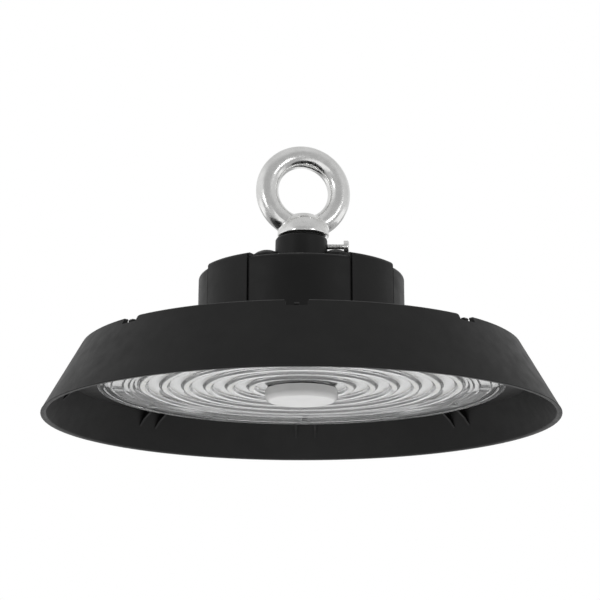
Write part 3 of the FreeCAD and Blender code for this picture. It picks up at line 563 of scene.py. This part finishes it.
def dress_nodes():
    """Give every node a finish by its material slot, and give back the finishes by slot."""
    copper = Finish("copper_winding", (0.55, 0.24, 0.08), 0.35, 1.0)
    copper.bump(copper.noise(1200.0, 2.0), 0.4, 0.0002)
    finishes = {
        "black_moulding": satin_black("satin_moulding", 0.46, 2100.0),
        "black_casting": satin_black("powder_coat", 0.44, 2600.0),
        "seal_rubber": plain_matt("seal_rubber", (0.02, 0.02, 0.02), 0.75),
        "screw_steel": dark_steel("dark_screw_steel"),
        "pad_silicone": plain_matt("pad_silicone", (0.4, 0.42, 0.45), 0.7),
        "white_board": white_mask("white_mask"),
        "chip_phosphor": plain_matt("chip_phosphor", (0.80, 0.78, 0.66), 0.4),
        "clear_film": plain_matt("insulating_film", (0.7, 0.72, 0.73), 0.3),
        "green_board": plain_matt("board_green", (0.02, 0.16, 0.06), 0.4),
        "ferrite": plain_matt("ferrite", (0.05, 0.05, 0.05), 0.5),
        "copper_winding": copper.material,
        "capacitor_can": plain_matt("capacitor_sleeve", (0.03, 0.03, 0.08), 0.3),
        "amber_box": plain_matt("amber_box", (0.7, 0.35, 0.02), 0.35),
        "green_terminal": plain_matt("terminal_green", (0.03, 0.3, 0.1), 0.4),
        "gland_nylon": plain_matt("gland_nylon", (0.015, 0.015, 0.015), 0.45),
        "clear_lens": clear_moulding("clear_flange", 0.9),
        "milky_cap": milky_moulding("milky_moulding"),
        "zinc_steel": zinc_plate("zinc_plate", 0.2, 0.00022),
    }
    for part in frame["record"]["subparts"]:
        dress(part["node"], finishes[part["material_slot"]])
    return finishes


# Camera, room and lamps


def set_camera():
    """The photograph's camera, below the rim and looking up."""
    look = math.radians(CAMERA_BELOW)
    turn = math.radians(CAMERA_BEARING)
    flat = CAMERA_DISTANCE * math.cos(look)
    spot = Vector((flat * math.sin(turn), -flat * math.cos(turn), -CAMERA_DISTANCE * math.sin(look)))
    camera = bpy.data.cameras.new("camera")
    camera.lens = CAMERA_LENS
    camera.sensor_width = SENSOR
    camera.shift_x = SHIFT_X
    holder = bpy.data.objects.new("camera", camera)
    bpy.context.scene.collection.objects.link(holder)
    holder.location = spot
    holder.rotation_euler = (math.radians(90.0 + CAMERA_BELOW + CAMERA_TILT), 0.0, turn)
    bpy.context.scene.camera = holder


def lamp(name, bearing, rise, distance, size, power):
    """A soft box that looks at the object, by its bearing from the front and its rise above the rim."""
    up = math.radians(rise)
    spot = place(bearing, distance * math.cos(up), distance * math.sin(up))
    light = bpy.data.lights.new(name, "AREA")
    light.shape = "RECTANGLE"
    light.size = size[0]
    light.size_y = size[1]
    light.energy = power
    holder = bpy.data.objects.new(name, light)
    bpy.context.scene.collection.objects.link(holder)
    holder.location = spot
    aim = Vector((0.0, 0.0, LAMP_AIM_Z)) - spot
    holder.rotation_euler = aim.to_track_quat("-Z", "Y").to_euler()


def set_world():
    """White behind the object, and a room that shiny surfaces see dim in front and bright at the back."""
    world = bpy.data.worlds.new("studio")
    world.use_nodes = True
    bpy.context.scene.world = world
    nodes = world.node_tree.nodes
    links = world.node_tree.links
    background = nodes["Background"]
    path = nodes.new("ShaderNodeLightPath").outputs
    direction = nodes.new("ShaderNodeSeparateXYZ")
    links.new(nodes.new("ShaderNodeTexCoord").outputs["Generated"], direction.inputs["Vector"])

    def share(output, low, high):
        """How far an output has come from low to high."""
        node = nodes.new("ShaderNodeMapRange")
        node.interpolation_type = "SMOOTHSTEP"
        node.inputs["From Min"].default_value = low
        node.inputs["From Max"].default_value = high
        links.new(output, node.inputs["Value"])
        return node.outputs["Result"]

    def blend(factor, low, high):
        """Mix two brightnesses, each a number or another node's output."""
        node = nodes.new("ShaderNodeMix")
        node.data_type = "FLOAT"
        for socket, value in (("A", low), ("B", high)):
            if isinstance(value, float):
                node.inputs[socket].default_value = value
            else:
                links.new(value, node.inputs[socket])
        links.new(factor, node.inputs["Factor"])
        return node.outputs["Result"]

    near, far = TO_SIDES
    room = blend(share(direction.outputs["X"], near, far), SHINE_FRONT, SHINE_RIGHT)
    room = blend(share(direction.outputs["X"], -far, -near), SHINE_LEFT, room)
    room = blend(share(direction.outputs["Y"], *TO_BACK), room, SHINE_BACK)
    room = blend(share(direction.outputs["Z"], *TO_OVERHEAD), room, SHINE_OVERHEAD)
    level = blend(path["Is Glossy Ray"], ROOM_FILL, room)
    level = blend(path["Is Transmission Ray"], level, SEEN_THROUGH)
    level = blend(path["Is Camera Ray"], level, 1.0)
    links.new(level, background.inputs["Strength"])
    background.inputs["Color"].default_value = (1.0, 1.0, 1.0, 1.0)


def make_floor():
    """A white floor that keeps the object's shadow and is open to a look from below.

    Shiny surfaces see it dimmer at the left and right than in the middle.
    """
    bm = bmesh.new()
    bmesh.ops.create_grid(bm, x_segments=1, y_segments=1, size=FLOOR_SIZE / 2)
    move_all(bm, (0, 0, FLOOR_Z))
    floor = link("floor", mesh_of("floor", bm))
    finish = Finish("floor_white", (0.82, 0.82, 0.82), 0.9)
    finish.shader.inputs["Specular IOR Level"].default_value = 0.0
    new = finish.nodes.new
    path = new("ShaderNodeLightPath").outputs
    seen = new("ShaderNodeMath")
    seen.operation = "MULTIPLY"
    seen.inputs[1].default_value = FLOOR_GLOW
    finish.links.new(path["Is Camera Ray"], seen.inputs[0])
    white = new("ShaderNodeEmission").outputs["Emission"]
    top = finish.either(seen.outputs["Value"], finish.shader.outputs["BSDF"], white)
    spot = new("ShaderNodeSeparateXYZ")
    finish.links.new(finish.position, spot.inputs["Vector"])
    across = new("ShaderNodeMath")
    across.operation = "ABSOLUTE"
    finish.links.new(spot.outputs["X"], across.inputs[0])
    level = new("ShaderNodeMapRange")
    level.interpolation_type = "SMOOTHSTEP"
    level.inputs["From Min"].default_value = TO_FLOOR_SIDES[0]
    level.inputs["From Max"].default_value = TO_FLOOR_SIDES[1]
    level.inputs["To Min"].default_value = SHINE_FLOOR
    level.inputs["To Max"].default_value = SHINE_FLOOR_SIDES
    finish.links.new(across.outputs["Value"], level.inputs["Value"])
    shine = new("ShaderNodeEmission")
    finish.links.new(level.outputs["Result"], shine.inputs["Strength"])
    top = finish.either(path["Is Glossy Ray"], top, shine.outputs["Emission"])
    below = new("ShaderNodeNewGeometry").outputs["Backfacing"]
    finish.surface(finish.either(below, top, finish.nothing()))
    floor.data.materials.append(finish.material)


finishes = dress_nodes()
# The lens's plate and ribs get less clear, whiter copies of its finish: painted highlight standing in for
# light bent through the ribs
new_piece(
    make_lens(), "lens", "clear_lens",
    finishes["clear_lens"], clear_moulding("plate_painted_pale", 0.76), clear_moulding("ribs_painted_bright", 0.2),
)
new_piece(make_eye(), "eye_bolt", "zinc_steel", finishes["zinc_steel"])
new_piece(make_locking_screw(), "locking_screw", "zinc_steel", finishes["zinc_steel"])
set_camera()
set_world()
make_floor()
lamp("left_softbox", -42.0, 4.0, 1.25, (0.16, 0.28), 1.2)
lamp("right_softbox", 42.0, 4.0, 1.25, (0.16, 0.28), 1.2)
lamp("low_left_softbox", -100.0, -14.0, 1.3, (1.4, 0.8), 2.2)
lamp("low_right_softbox", 100.0, -14.0, 1.3, (1.4, 0.8), 1.9)

bpy.context.scene.view_settings.view_transform = "Standard"
